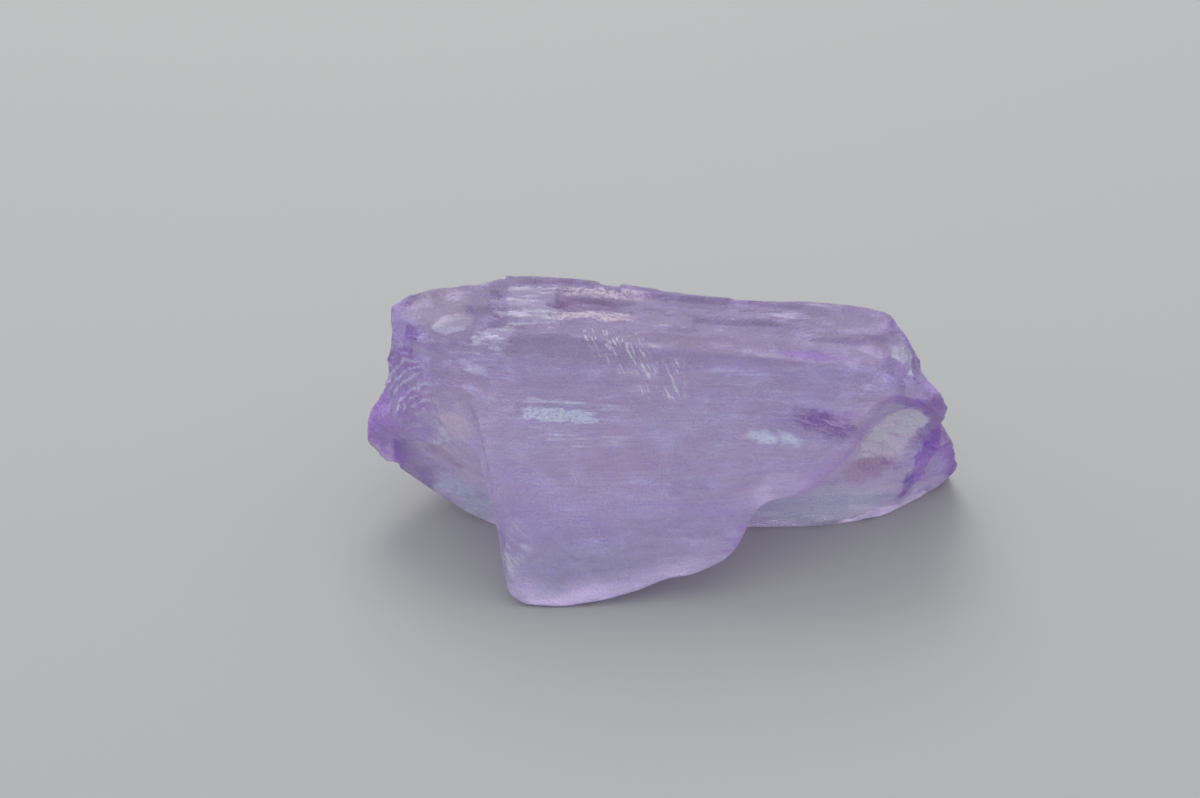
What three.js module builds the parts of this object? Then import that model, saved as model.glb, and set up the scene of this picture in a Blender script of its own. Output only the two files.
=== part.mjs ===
// A rough kunzite crystal, lying as it was set down. It is one broken piece of one crystal: a leaning blade
// whose front cleavage face runs down into a foot, a thicker core behind it, and a splintered break at each
// end. Millimetres, +Z up, +X along the crystal's length, -Y towards the leaning face. Z = 0 is the resting
// plane.
import * as THREE from "three";

// The crystal's long edges, each a list of [x, y, z] corners from the left break to the right one, in a
// drawing frame that starts at the foot's front. They are listed in order round the section, from the top edge
// at the back, over the shoulder and down the front face to the foot, and back under the core.
const TOP_BACK = [
  [-17.6, 12.8, 14.8], [-16.7, 13.2, 15.3], [-15.0, 13.4, 15.75], [-12.2, 13.6, 15.85],
  [-9.7, 14.0, 16.25], [-6.0, 14.0, 16.05], [-1.7, 13.8, 15.45], [3.2, 13.6, 14.8], [7.2, 13.4, 14.65],
  [11.3, 13.2, 14.75], [13.0, 13.0, 14.65], [14.7, 12.6, 14.25], [15.9, 12.2, 13.7],
];
const TOP_STEP = [
  [-17.7, 12.0, 14.4], [-15.2, 11.6, 15.1], [-10.4, 11.4, 15.6], [-4.0, 11.2, 15.4], [2.3, 11.0, 14.6],
  [8.7, 10.8, 14.4], [13.2, 10.6, 14.0], [15.9, 10.9, 12.7],
];
const SHOULDER = [
  [-17.8, 11.4, 13.3], [-14.8, 9.4, 14.1], [-11.6, 8.6, 14.8], [-6.6, 8.2, 15.6], [-1.5, 8.0, 15.5],
  [4.8, 7.8, 14.6], [8.6, 7.8, 14.3], [11.7, 7.9, 13.5], [15.3, 8.2, 12.3], [18.1, 8.7, 10.8],
];
const FRONT_HIGH = [
  [-18.1, 11.2, 10.9], [-16.2, 9.0, 11.1], [-13.5, 7.2, 11.7], [-10.4, 6.3, 12.0], [-4.0, 6.0, 12.0],
  [2.2, 6.0, 11.9], [8.6, 6.1, 11.8], [11.7, 6.4, 12.1], [14.0, 7.2, 12.1], [15.8, 7.9, 11.6],
  [18.4, 8.6, 10.3],
];
const FRONT_LOW = [
  [-18.9, 10.8, 8.3], [-16.9, 9.0, 8.5], [-14.3, 7.0, 9.2], [-11.9, 5.0, 9.0], [-10.4, 3.4, 7.1],
  [-6.6, 3.0, 6.4], [-1.5, 3.0, 6.4], [3.5, 3.3, 7.1], [6.0, 3.9, 8.1], [8.6, 4.4, 8.9],
  [11.1, 5.0, 10.0], [12.7, 5.8, 11.1], [14.2, 6.9, 11.9], [15.8, 7.8, 11.2], [18.4, 8.6, 9.7],
];
const LIP = [
  [-19.6, 10.6, 6.3], [-17.1, 8.8, 7.2], [-14.3, 6.8, 7.9], [-11.8, 4.7, 8.5], [-11.2, 3.6, 6.8],
  [-10.6, 2.3, 4.7], [-10.3, 1.3, 2.9], [-10.1, 0.7, 1.6], [-9.7, 0.4, 0.7], [-8.6, 0.1, 0.2],
  [-6.7, 0.0, 0.1], [-4.6, 0.2, 0.3], [-1.8, 0.6, 0.9], [0.3, 1.0, 1.6], [2.4, 1.2, 1.9],
  [3.8, 1.6, 2.6], [4.6, 2.0, 3.3], [5.3, 2.7, 4.4], [5.8, 3.1, 5.3], [6.6, 3.3, 6.0], [8.8, 3.7, 6.4],
  [10.1, 4.2, 7.2], [11.5, 4.8, 8.2], [12.5, 5.4, 9.4], [13.7, 6.4, 11.1], [14.5, 7.1, 11.6],
  [16.0, 7.9, 10.7], [18.4, 8.6, 9.0],
];
const LIP_UNDER = [
  [-19.4, 11.0, 4.6], [-15.5, 9.4, 6.2], [-12.6, 7.2, 6.6], [-11.2, 5.6, 5.6], [-10.2, 4.2, 2.2],
  [-9.6, 3.6, 0.4], [-8.0, 3.2, 0.0], [-4.0, 3.2, 0.0], [0.0, 3.8, 0.9], [3.5, 4.4, 2.0],
  [5.2, 5.4, 4.0], [7.0, 6.0, 5.0], [10.0, 6.8, 6.4], [12.5, 8.0, 8.0], [14.5, 8.6, 9.4],
  [16.4, 8.6, 8.9], [18.3, 8.7, 7.8],
];
const HOLLOW = [
  [-18.8, 11.3, 3.4], [-15.5, 9.8, 4.9], [-12.8, 8.2, 5.2], [-10.5, 7.2, 4.4], [-8.0, 5.9, 3.6],
  [-4.0, 5.8, 3.4], [0.0, 6.2, 3.9], [4.0, 6.8, 4.8], [8.0, 7.6, 5.2], [11.0, 8.4, 5.6],
  [13.5, 9.3, 6.0], [15.4, 9.3, 5.8], [16.8, 9.0, 5.8], [17.9, 8.8, 5.9],
];
const LEDGE = [
  [-17.8, 11.3, 3.0], [-14.5, 9.9, 3.2], [-12.0, 8.8, 2.8], [-9.0, 8.0, 2.2], [-4.0, 7.6, 2.0],
  [2.0, 7.9, 2.4], [6.0, 8.1, 2.8], [10.0, 8.3, 2.8], [13.0, 8.5, 2.5], [15.2, 8.8, 2.6],
  [17.0, 9.1, 3.6],
];
const BASE_FRONT = [
  [-17.3, 11.6, 2.6], [-14.5, 9.9, 1.5], [-12.1, 9.2, 0.2], [-10.5, 8.6, 0.0], [-4.0, 8.6, 0.0],
  [2.0, 8.6, 0.0], [6.5, 8.4, 0.0], [10.0, 8.5, 0.0], [12.4, 9.0, 0.0], [14.6, 9.7, 0.05],
  [17.0, 12.0, 0.05],
];
const BASE_BACK = [
  [-16.0, 13.6, 3.4], [-13.5, 14.0, 1.2], [-11.0, 14.2, 0.0], [-4.0, 14.4, 0.0], [6.0, 14.6, 0.0],
  [13.0, 14.8, 0.0], [18.8, 14.2, 0.1],
];
const BACK_LOW = [
  [-16.6, 15.2, 5.4], [-12.0, 16.0, 4.0], [-4.0, 16.4, 3.6], [6.0, 16.6, 3.8], [13.0, 16.4, 3.6],
  [18.5, 15.3, 3.4],
];
const BACK_HIGH = [
  [-16.9, 14.6, 11.0], [-12.0, 15.6, 11.0], [-4.0, 16.0, 11.4], [6.0, 15.8, 10.8], [12.0, 15.4, 10.2],
  [16.4, 14.6, 8.8],
];

// Each edge with the number of strips on the face that follows it, and how far that face's laths stand proud.
const FACES = [
  { edge: TOP_BACK, strips: 5, lath: 0.15 },
  { edge: TOP_STEP, strips: 5, lath: 0.14 },
  { edge: SHOULDER, strips: 6, lath: 0.06 },
  { edge: FRONT_HIGH, strips: 8, lath: 0.03 },
  { edge: FRONT_LOW, strips: 8, lath: 0.03 },
  { edge: LIP, strips: 4, lath: 0.02 },
  { edge: LIP_UNDER, strips: 5, lath: 0.06 },
  { edge: HOLLOW, strips: 4, lath: 0.08 },
  { edge: LEDGE, strips: 4, lath: 0.07 },
  { edge: BASE_FRONT, strips: 4, lath: 0 },
  { edge: BASE_BACK, strips: 5, lath: 0.14 },
  { edge: BACK_LOW, strips: 9, lath: 0.17 },
  { edge: BACK_HIGH, strips: 6, lath: 0.16 },
];

// Stations along the length, as [share of the length where a stretch ends, stations in it]. They are closer
// together at the foot's steep left side and at the two ends.
const STRETCHES = [[0.19, 11], [0.28, 12], [0.8, 19], [1.0, 14]];
const END_RINGS = 5; // rings between an end's rim and its middle
const CORE_LEFT = new THREE.Vector3(-13, 12.4, 8.6); // ends of the core's axis, from which breaks are cut
const CORE_RIGHT = new THREE.Vector3(13, 12.4, 7.0);
const LEFT_MIDDLE = new THREE.Vector3(-17.9, 12.7, 8.6);
const RIGHT_MIDDLE = new THREE.Vector3(18.7, 12.4, 4.4);
const GRAIN_FALL = 0.07; // how much the grain falls to the right, per millimetre of length

// The rounded lobe at the foot of the right break: where it is, how far it reaches along each axis, and how
// far it stands out, for skin to the right of its start.
const LOBE = { at: [19.2, 12.6, 1.9], reach: [3.4, 2.7, 2.9], height: 1.5, start: 14 };

// Rough breaks at both ends: their depth, the size of a splinter, and the share of the length they run in.
const BREAK = { depth: 0.8, splinter: 2.6, reach: 0.08 };

// Laths of the long faces: how wide and how long one is.
const LATH = { width: 0.95, length: 7 };

// The edge on the front face where the blade starts, as [z, x], and how proud of the left flank it stands.
const BLADE_EDGE = [[3.0, -10.3], [4.6, -10.4], [6.9, -10.8], [8.7, -11.2], [10.3, -11.6], [11.6, -12.3]];
const BLADE_STEP = 0.35;

// Ledges and troughs of the top, each [x from, x to, y from, y to, lift].
const TOP_LEDGES = [
  [-10.6, -6.6, 9.9, 13.4, 0.26],
  [-6.3, -1.0, 9.7, 10.7, 0.16],
  [-6.5, -2.0, 10.9, 12.0, -0.22],
  [7.2, 15.0, 7.6, 8.5, 0.16],
];

// Flat breaks, each a point on the plane and the way it faces.
const FLATS = [
  { at: [-14.3, 10.8, 14.8], facing: [-0.26, -0.33, 1.0] },
  { at: [-17.95, 11.9, 12.6], facing: [-0.95, -0.15, 0.3] },
  { at: [-17.7, 14.2, 9.0], facing: [-0.85, 0.5, 0.1] },
  { at: [-18.5, 12.6, 4.0], facing: [-0.7, 0.1, -0.6] },
  { at: [15.0, 10.4, 13.05], facing: [0.5, -0.45, 0.74] },
  { at: [16.1, 10.7, 12.6], facing: [0.75, 0.1, 0.65] },
  { at: [10.8, 10.6, 14.12], facing: [0.1, -0.13, 1.0] },
  { at: [15.85, 14.0, 9.1], facing: [0.8, 0.5, 0.33] },
  { at: [2.8, 1.5, 2.15], facing: [0.35, -0.85, -0.45] },
];

// Shell-shaped breaks: where the skin was, the way it faced, and the radius and depth of the hollow. Stretch
// is how much longer the hollow is along x.
const SCOOPS = [
  { at: [-17.3, 10.1, 10.6], facing: [-0.75, -0.65, 0.15], radius: 3.0, depth: 0.3, stretch: 1 },
  { at: [-16.9, 10.4, 13.3], facing: [-0.75, -0.55, 0.4], radius: 1.8, depth: 0.3, stretch: 1 },
  { at: [-15.6, 8.6, 7.9], facing: [-0.45, -0.85, 0.1], radius: 2.4, depth: 0.2, stretch: 1.3 },
  { at: [-15.0, 9.5, 4.2], facing: [-0.4, -0.9, -0.2], radius: 2.4, depth: 0.25, stretch: 1.4 },
  { at: [15.9, 8.9, 6.6], facing: [0.15, -1.0, 0.15], radius: 3.6, depth: 0.75, stretch: 1 },
  { at: [17.0, 9.9, 11.9], facing: [0.8, 0.05, 0.6], radius: 1.9, depth: 1.1, stretch: 1 },
];

const SKIN = new THREE.MeshStandardMaterial({
  color: 0xa98fc6,
  roughness: 0.38,
  metalness: 0,
  transparent: true,
  opacity: 0.8,
});

// The slopes of a curve through the given corners at each of them, level where it turns, so that it never
// swings past a corner. coordinate is 1 for y and 2 for z.
function slopesOf(edge, coordinate) {
  const rises = edge
    .slice(1)
    .map((p, i) => (p[coordinate] - edge[i][coordinate]) / (p[0] - edge[i][0]));
  return edge.map((_, i) => {
    if (i === 0) return rises[0];
    if (i === edge.length - 1) return rises[i - 1];
    const [before, after] = [rises[i - 1], rises[i]];
    return before * after <= 0 ? 0 : (2 * before * after) / (before + after);
  });
}

// The point of an edge at a share of its own length, from 0 at the left break to 1 at the right one.
function makeEdgeCurve(edge) {
  const slopes = { 1: slopesOf(edge, 1), 2: slopesOf(edge, 2) };
  const first = edge[0][0];
  const last = edge[edge.length - 1][0];
  return (share) => {
    const x = first + (last - first) * share;
    let k = 0;
    while (k < edge.length - 2 && x > edge[k + 1][0]) k += 1;
    const [a, b] = [edge[k], edge[k + 1]];
    const step = b[0] - a[0];
    const t = THREE.MathUtils.clamp((x - a[0]) / step, 0, 1);
    const [t2, t3] = [t * t, t * t * t];
    const along = (c) =>
      (2 * t3 - 3 * t2 + 1) * a[c] + (t3 - 2 * t2 + t) * step * slopes[c][k] +
      (3 * t2 - 2 * t3) * b[c] + (t3 - t2) * step * slopes[c][k + 1];
    return new THREE.Vector3(x, along(1), along(2));
  };
}

// The share of the length at each station.
function stationShares() {
  const shares = [0];
  let from = 0;
  for (const [to, count] of STRETCHES) {
    for (let i = 1; i <= count; i += 1) shares.push(from + ((to - from) * i) / count);
    from = to;
  }
  return shares;
}

// 0 up to from, 1 beyond to, and a smooth step between.
function smoothStep(value, from, to) {
  return THREE.MathUtils.smoothstep(value, from, to);
}

// 1 between from and to, with edges that fade over the given width.
function within(value, from, to, edge) {
  return smoothStep(value, from - edge, from + edge) * (1 - smoothStep(value, to - edge, to + edge));
}

// A number from 0 to 1 that is always the same for the same pair of numbers.
function steadyRandom(i, j) {
  const wave = Math.sin(i * 127.1 + j * 311.7) * 43758.5453;
  return wave - Math.floor(wave);
}

// A triangle wave: 0 at whole numbers, 1 halfway, straight between.
function folded(u) {
  return 1 - Math.abs(2 * (u - Math.floor(u)) - 1);
}

// How far across the grain a point is.
function acrossGrain(p) {
  return p.z + GRAIN_FALL * p.x + 0.8 * p.y;
}

// The height of a splintered break, from 0 to 1. It is flat between the creases of three crossing waves, on
// places that drift a little.
function splinterHeight(p) {
  const { x, y, z } = p.clone().divideScalar(BREAK.splinter);
  const drift = 0.18 * Math.sin(1.3 * y + 0.9 * z) + 0.14 * Math.sin(1.7 * z - 0.8 * x + 2);
  const broad = folded(0.42 * y + 0.31 * z - 0.25 * x + drift);
  const crossing = folded(0.23 * y - 0.61 * z + 0.3 * x + 0.31 + drift);
  const narrow = folded(0.9 * y + 0.5 * z + 0.4 * x + 0.77 - drift);
  return (broad + 0.6 * crossing + 0.3 * narrow) / 1.9;
}

// The level of the lath a point is on, from -1 to 1. A lath is one row across the grain with its own start.
function lathLevel(p) {
  const row = Math.floor(acrossGrain(p) / LATH.width + 1);
  const cell = Math.floor(p.x / LATH.length + 7 * steadyRandom(row, 1));
  return 2 * steadyRandom(row + 13, cell) - 1;
}

// The height of the top's ledges and troughs at a point. Their ends are splintered along the grain.
function ledgeHeight(p) {
  const SPLINTER_WIDTH = 0.9;
  const SPLINTER_LENGTH = 1.1;
  const row = Math.floor(acrossGrain(p) / SPLINTER_WIDTH);
  const x = p.x + SPLINTER_LENGTH * (steadyRandom(row, 5) - 0.5);
  let height = 0;
  for (const [from, to, front, back, lift] of TOP_LEDGES)
    height += lift * within(x, from, to, 0.25) * within(p.y, front, back, 0.15);
  return height;
}

// How far the blade stands out of the left flank at a point of the front face: it starts at a sharp edge, and
// dies out to the right and towards the foot and the shoulder.
function bladeHeight(p) {
  let k = 0;
  while (k < BLADE_EDGE.length - 2 && p.z > BLADE_EDGE[k + 1][0]) k += 1;
  const [[z0, x0], [z1, x1]] = [BLADE_EDGE[k], BLADE_EDGE[k + 1]];
  const past = p.x - THREE.MathUtils.lerp(x0, x1, THREE.MathUtils.clamp((p.z - z0) / (z1 - z0), 0, 1));
  const along = smoothStep(past, -0.2, 0.2) * (1 - smoothStep(past, 1, 7));
  return BLADE_STEP * along * smoothStep(p.z, 3.2, 5) * (1 - smoothStep(p.z, 10.6, 12.2));
}

// One closed row of points per station: each face's strips are level between its two edges.
function sectionAt(curves, share) {
  const corners = curves.map((curve) => curve(share));
  const row = [];
  FACES.forEach(({ strips }, face) => {
    const next = corners[(face + 1) % FACES.length];
    for (let i = 0; i < strips; i += 1) row.push(corners[face].clone().lerp(next, i / strips));
  });
  return row;
}

// The rows of points from the middle of the left break to the middle of the right one. An end is a dome: its
// rings shrink evenly to the middle, and x goes with the square of their reach.
function makeRows() {
  const curves = FACES.map(({ edge }) => makeEdgeCurve(edge));
  const rows = stationShares().map((share) => ({ share, points: sectionAt(curves, share) }));
  const endRows = ({ share, points }, middle) =>
    Array.from({ length: END_RINGS }, (_, i) => {
      const reach = (i + 1) / (END_RINGS + 1);
      const ring = points.map((p) => middle.clone().lerp(p, reach));
      ring.forEach((p, j) => {
        p.x = THREE.MathUtils.lerp(middle.x, points[j].x, reach * reach);
      });
      return { share, points: ring };
    });
  const left = endRows(rows[0], LEFT_MIDDLE);
  const right = endRows(rows[rows.length - 1], RIGHT_MIDDLE).reverse();
  return [...left, ...rows, ...right];
}

// The indices of the closed skin over the rows, with a fan at each end. Faces point outwards.
function skinIndices(rowCount, rowLength) {
  const index = [];
  const leftPole = rowCount * rowLength;
  const rightPole = leftPole + 1;
  for (let r = 0; r < rowCount - 1; r += 1)
    for (let j = 0; j < rowLength; j += 1) {
      const [a, b] = [r * rowLength + j, r * rowLength + ((j + 1) % rowLength)];
      const [c, d] = [a + rowLength, b + rowLength];
      index.push(a, b, c, b, d, c);
    }
  for (let j = 0; j < rowLength; j += 1) {
    const next = (j + 1) % rowLength;
    index.push(leftPole, next, j);
    index.push(rightPole, (rowCount - 1) * rowLength + j, (rowCount - 1) * rowLength + next);
  }
  return index;
}

// Moves a point at the right break out over the lobe.
function swellLobe(point) {
  if (point.x <= LOBE.start) return;
  const away = point.clone().sub(new THREE.Vector3(...LOBE.at)).divide(new THREE.Vector3(...LOBE.reach));
  point.x += LOBE.height * Math.exp(-away.lengthSq());
}

// The point of the core's axis that a point of the skin is cut towards: at its own x, or at the axis' end.
function corePoint(point) {
  const share = THREE.MathUtils.clamp((point.x - CORE_LEFT.x) / (CORE_RIGHT.x - CORE_LEFT.x), 0, 1);
  return CORE_LEFT.clone().lerp(CORE_RIGHT, share);
}

// Moves a point that lies beyond a flat break back to its plane, along the ray from the core.
function cutFlat(point, { at, facing }) {
  const outward = new THREE.Vector3(...facing);
  const corner = new THREE.Vector3(...at);
  if (point.clone().sub(corner).dot(outward) <= 0) return;
  const core = corePoint(point);
  const share = corner.sub(core).dot(outward) / point.clone().sub(core).dot(outward);
  if (share > 0) point.lerpVectors(core, point, share);
}

// Moves a point that lies in the hollow of a shell-shaped break back to its near side, along the ray from the
// core: where q + t d, over the hollow's radii, has length 1.
function cutShell(point, { at, facing, radius, depth, stretch }) {
  const outward = new THREE.Vector3(...facing).normalize();
  const centre = new THREE.Vector3(...at).addScaledVector(outward, radius - depth);
  const radii = new THREE.Vector3(radius * stretch, radius, radius);
  if (point.clone().sub(centre).divide(radii).length() >= 1) return;
  const core = corePoint(point);
  const q = core.clone().sub(centre).divide(radii);
  const d = point.clone().sub(core).divide(radii);
  const [qd, dd] = [q.dot(d), d.dot(d)];
  const share = (-qd - Math.sqrt(Math.max(qd * qd - dd * (q.dot(q) - 1), 0))) / dd;
  if (share > 0) point.lerpVectors(core, point, share);
}

// The crystal's skin: the edges' faces and the domed ends. Laths, ledges and the blade's edge move it along
// its normals, and the splintered breaks along the rays from the core. Then the flat and the shell-shaped
// breaks cut it.
function makeCrystalGeometry() {
  const rows = makeRows();
  const rowLength = rows[0].points.length;
  const points = rows.flatMap((row) => row.points);
  points.push(LEFT_MIDDLE.clone(), RIGHT_MIDDLE.clone());
  points.forEach(swellLobe);
  const geometry = new THREE.BufferGeometry().setFromPoints(points);
  geometry.setIndex(skinIndices(rows.length, rowLength));
  geometry.computeVertexNormals();
  const normals = geometry.getAttribute("normal");
  const position = geometry.getAttribute("position");

  const places = FACES.flatMap(({ strips }, face) =>
    Array.from({ length: strips }, (_, i) => face + i / strips));
  const BASE_FACE = 9;
  const TOP_END = 2.6; // places round the section, in faces: the top ends here, and starts again at TOP_START
  const TOP_START = 12.7;
  const FRONT_END = 5.1; // the leaning face lies between TOP_END and here
  const normal = new THREE.Vector3();
  points.forEach((point, n) => {
    const row = rows[Math.floor(n / rowLength)];
    const place = places[n % rowLength];
    const isBase = row && place >= BASE_FACE && place <= BASE_FACE + 1;
    if (!isBase) {
      const share = row ? row.share : point.x < 0 ? 0 : 1;
      const broken = 1 - smoothStep(Math.min(share, 1 - share), 0.2 * BREAK.reach, BREAK.reach);
      let lift = broken * BREAK.depth * (splinterHeight(point) - 0.75);
      if (row) {
        lift += (1 - broken) * FACES[Math.floor(place)].lath * lathLevel(point);
        if (place < TOP_END || place > TOP_START) lift += ledgeHeight(point);
        else if (place < FRONT_END) lift += bladeHeight(point);
      }
      const ray = point.clone().sub(corePoint(point)).normalize();
      point.addScaledVector(normal.fromBufferAttribute(normals, n).lerp(ray, broken), lift);
    }
    FLATS.forEach((flat) => cutFlat(point, flat));
    SCOOPS.forEach((scoop) => cutShell(point, scoop));
    position.setXYZ(n, point.x, point.y, Math.max(point.z, 0));
  });

  geometry.deleteAttribute("normal");
  geometry.computeBoundingBox();
  const { min, max } = geometry.boundingBox;
  geometry.translate(-(min.x + max.x) / 2, -(min.y + max.y) / 2, -min.z);
  geometry.computeVertexNormals();
  return geometry;
}

const crystal = new THREE.Mesh(makeCrystalGeometry(), SKIN);
crystal.name = "crystal";

const kunzite = new THREE.Group();
kunzite.add(crystal);

export default kunzite;
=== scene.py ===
import math

import bpy
import numpy as np
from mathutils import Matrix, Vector


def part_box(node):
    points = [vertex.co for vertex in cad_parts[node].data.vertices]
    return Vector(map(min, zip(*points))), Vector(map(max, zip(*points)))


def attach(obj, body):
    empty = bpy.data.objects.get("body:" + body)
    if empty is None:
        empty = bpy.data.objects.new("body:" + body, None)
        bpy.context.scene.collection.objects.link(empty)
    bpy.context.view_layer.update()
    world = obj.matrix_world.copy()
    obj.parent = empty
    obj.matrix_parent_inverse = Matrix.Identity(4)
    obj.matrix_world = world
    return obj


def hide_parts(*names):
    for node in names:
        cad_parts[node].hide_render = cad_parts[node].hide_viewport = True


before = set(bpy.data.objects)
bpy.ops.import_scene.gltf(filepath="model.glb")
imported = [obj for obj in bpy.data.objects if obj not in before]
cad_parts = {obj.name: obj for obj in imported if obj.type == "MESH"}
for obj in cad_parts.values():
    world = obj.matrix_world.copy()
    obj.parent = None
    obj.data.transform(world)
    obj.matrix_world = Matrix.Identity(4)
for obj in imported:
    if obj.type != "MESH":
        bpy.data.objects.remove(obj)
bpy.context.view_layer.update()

# The crystal's form. It is one broken piece of one kunzite crystal: a leaning blade, whose front cleavage
# face runs down into a foot, on a thicker core. It is drawn as thirteen long edges, in millimetres, (x, y, z)
# from the left break to the right one, with a straight face from each edge to the next one round the section.
MM = 0.001
EDGES = [
    ("top back", [
        (-17.6, 12.8, 14.8), (-16.7, 13.2, 15.3), (-15.0, 13.4, 15.75), (-12.2, 13.6, 15.85),
        (-9.7, 14.0, 16.25), (-6.0, 14.0, 16.05), (-1.7, 13.8, 15.45), (3.2, 13.6, 14.8), (7.2, 13.4, 14.65),
        (11.3, 13.2, 14.75), (13.0, 13.0, 14.65), (14.7, 12.6, 14.25), (15.9, 12.2, 13.7)]),
    ("top step", [
        (-17.7, 12.0, 14.4), (-15.2, 11.6, 15.1), (-10.4, 11.4, 15.6), (-4.0, 11.2, 15.4), (2.3, 11.0, 14.6),
        (8.7, 10.8, 14.4), (13.2, 10.6, 14.0), (15.9, 10.9, 12.7)]),
    ("shoulder", [
        (-17.8, 11.4, 13.3), (-14.8, 9.4, 14.1), (-11.6, 8.6, 14.8), (-6.6, 8.2, 15.6), (-1.5, 8.0, 15.5),
        (4.8, 7.8, 14.6), (8.6, 7.8, 14.3), (11.7, 7.9, 13.5), (15.3, 8.2, 12.3), (18.1, 8.7, 10.8)]),
    ("front high", [
        (-18.1, 11.2, 10.9), (-16.2, 9.0, 11.1), (-13.5, 7.2, 11.7), (-10.4, 6.3, 12.0), (-4.0, 6.0, 12.0),
        (2.2, 6.0, 11.9), (8.6, 6.1, 11.8), (11.7, 6.4, 12.1), (14.0, 7.2, 12.1), (15.8, 7.9, 11.6),
        (18.4, 8.6, 10.3)]),
    ("front low", [
        (-18.9, 10.8, 8.3), (-16.9, 9.0, 8.5), (-14.3, 7.0, 9.2), (-11.9, 5.0, 9.0), (-10.4, 3.4, 7.1),
        (-6.6, 3.0, 6.4), (-1.5, 3.0, 6.4), (3.5, 3.3, 7.1), (6.0, 3.9, 8.1), (8.6, 4.4, 8.9),
        (11.1, 5.0, 10.0), (12.7, 5.8, 11.1), (14.2, 6.9, 11.9), (15.8, 7.8, 11.2), (18.4, 8.6, 9.7)]),
    ("lip", [
        (-19.6, 10.6, 6.3), (-17.1, 8.8, 7.2), (-14.3, 6.8, 7.9), (-11.8, 4.7, 8.5), (-11.2, 3.6, 6.8),
        (-10.6, 2.3, 4.7), (-10.3, 1.3, 2.9), (-10.1, 0.7, 1.6), (-9.7, 0.4, 0.7), (-8.6, 0.1, 0.2),
        (-6.7, 0.0, 0.1), (-4.6, 0.2, 0.3), (-1.8, 0.6, 0.9), (0.3, 1.0, 1.6), (2.4, 1.2, 1.9),
        (3.8, 1.6, 2.6), (4.6, 2.0, 3.3), (5.3, 2.7, 4.4), (5.8, 3.1, 5.3), (6.6, 3.3, 6.0), (8.8, 3.7, 6.4),
        (10.1, 4.2, 7.2), (11.5, 4.8, 8.2), (12.5, 5.4, 9.4), (13.7, 6.4, 11.1), (14.5, 7.1, 11.6),
        (16.0, 7.9, 10.7), (18.4, 8.6, 9.0)]),
    ("lip underside", [
        (-19.4, 11.0, 4.6), (-15.5, 9.4, 6.2), (-12.6, 7.2, 6.6), (-11.2, 5.6, 5.6), (-10.2, 4.2, 2.2),
        (-9.6, 3.6, 0.4), (-8.0, 3.2, 0.0), (-4.0, 3.2, 0.0), (0.0, 3.8, 0.9), (3.5, 4.4, 2.0),
        (5.2, 5.4, 4.0), (7.0, 6.0, 5.0), (10.0, 6.8, 6.4), (12.5, 8.0, 8.0), (14.5, 8.6, 9.4),
        (16.4, 8.6, 8.9), (18.3, 8.7, 7.8)]),
    ("hollow", [
        (-18.8, 11.3, 3.4), (-15.5, 9.8, 4.9), (-12.8, 8.2, 5.2), (-10.5, 7.2, 4.4), (-8.0, 5.9, 3.6),
        (-4.0, 5.8, 3.4), (0.0, 6.2, 3.9), (4.0, 6.8, 4.8), (8.0, 7.6, 5.2), (11.0, 8.4, 5.6),
        (13.5, 9.3, 6.0), (15.4, 9.3, 5.8), (16.8, 9.0, 5.8), (17.9, 8.8, 5.9)]),
    ("ledge", [
        (-17.8, 11.3, 3.0), (-14.5, 9.9, 3.2), (-12.0, 8.8, 2.8), (-9.0, 8.0, 2.2), (-4.0, 7.6, 2.0),
        (2.0, 7.9, 2.4), (6.0, 8.1, 2.8), (10.0, 8.3, 2.8), (13.0, 8.5, 2.5), (15.2, 8.8, 2.6),
        (17.0, 9.1, 3.6)]),
    ("base front", [
        (-17.3, 11.6, 2.6), (-14.5, 9.9, 1.5), (-12.1, 9.2, 0.2), (-10.5, 8.6, 0.0), (-4.0, 8.6, 0.0),
        (2.0, 8.6, 0.0), (6.5, 8.4, 0.0), (10.0, 8.5, 0.0), (12.4, 9.0, 0.0), (14.6, 9.7, 0.05),
        (17.0, 12.0, 0.05)]),
    ("base back", [
        (-16.0, 13.6, 3.4), (-13.5, 14.0, 1.2), (-11.0, 14.2, 0.0), (-4.0, 14.4, 0.0), (6.0, 14.6, 0.0),
        (13.0, 14.8, 0.0), (18.8, 14.2, 0.1)]),
    ("back low", [
        (-16.6, 15.2, 5.4), (-12.0, 16.0, 4.0), (-4.0, 16.4, 3.6), (6.0, 16.6, 3.8), (13.0, 16.4, 3.6),
        (18.5, 15.3, 3.4)]),
    ("back high", [
        (-16.9, 14.6, 11.0), (-12.0, 15.6, 11.0), (-4.0, 16.0, 11.4), (6.0, 15.8, 10.8), (12.0, 15.4, 10.2),
        (16.4, 14.6, 8.8)]),
]
LANES = [20, 20, 28, 44, 46, 18, 30, 18, 16, 36, 26, 48, 32]    # strips on each face, near 0.15 mm wide
LATHS = [0.15, 0.14, 0.06, 0.03, 0.03, 0.02, 0.06, 0.08, 0.07, 0.0, 0.20, 0.26, 0.22]    # height, by edge
COARSE_LATHS = (0.95, 7.0, 1)    # width, length, seed
FINE_LATHS = (0.42, 4.0, 4)
STRETCHES = [(0.0, 46), (0.19, 34), (0.28, 78), (0.8, 50), (1.0, 1)]    # (share of the length, stations)
END_RINGS = 26
FRONT = (2.3, 3.2, 6.5, 7.5)    # where round the section, in edges, the front starts (from, to) and ends
BACK = (9.6, 10.4, 12.0, 12.8)
RESTING_PLACE = 9.5
BACK_SINK = 0.6    # the back lies lower by this share of its laths' height
END_REACH = 0.05    # the share of the length that is splintered at each end
BLADE_END_REACH = 0.12    # the same, more on the front side at the left
SPLINTERS = [([0, 1, 2], 2.6, 0.8), ([1, 2, 0], 1.1, 0.3)]    # the order of the axes, the size, the height
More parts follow.
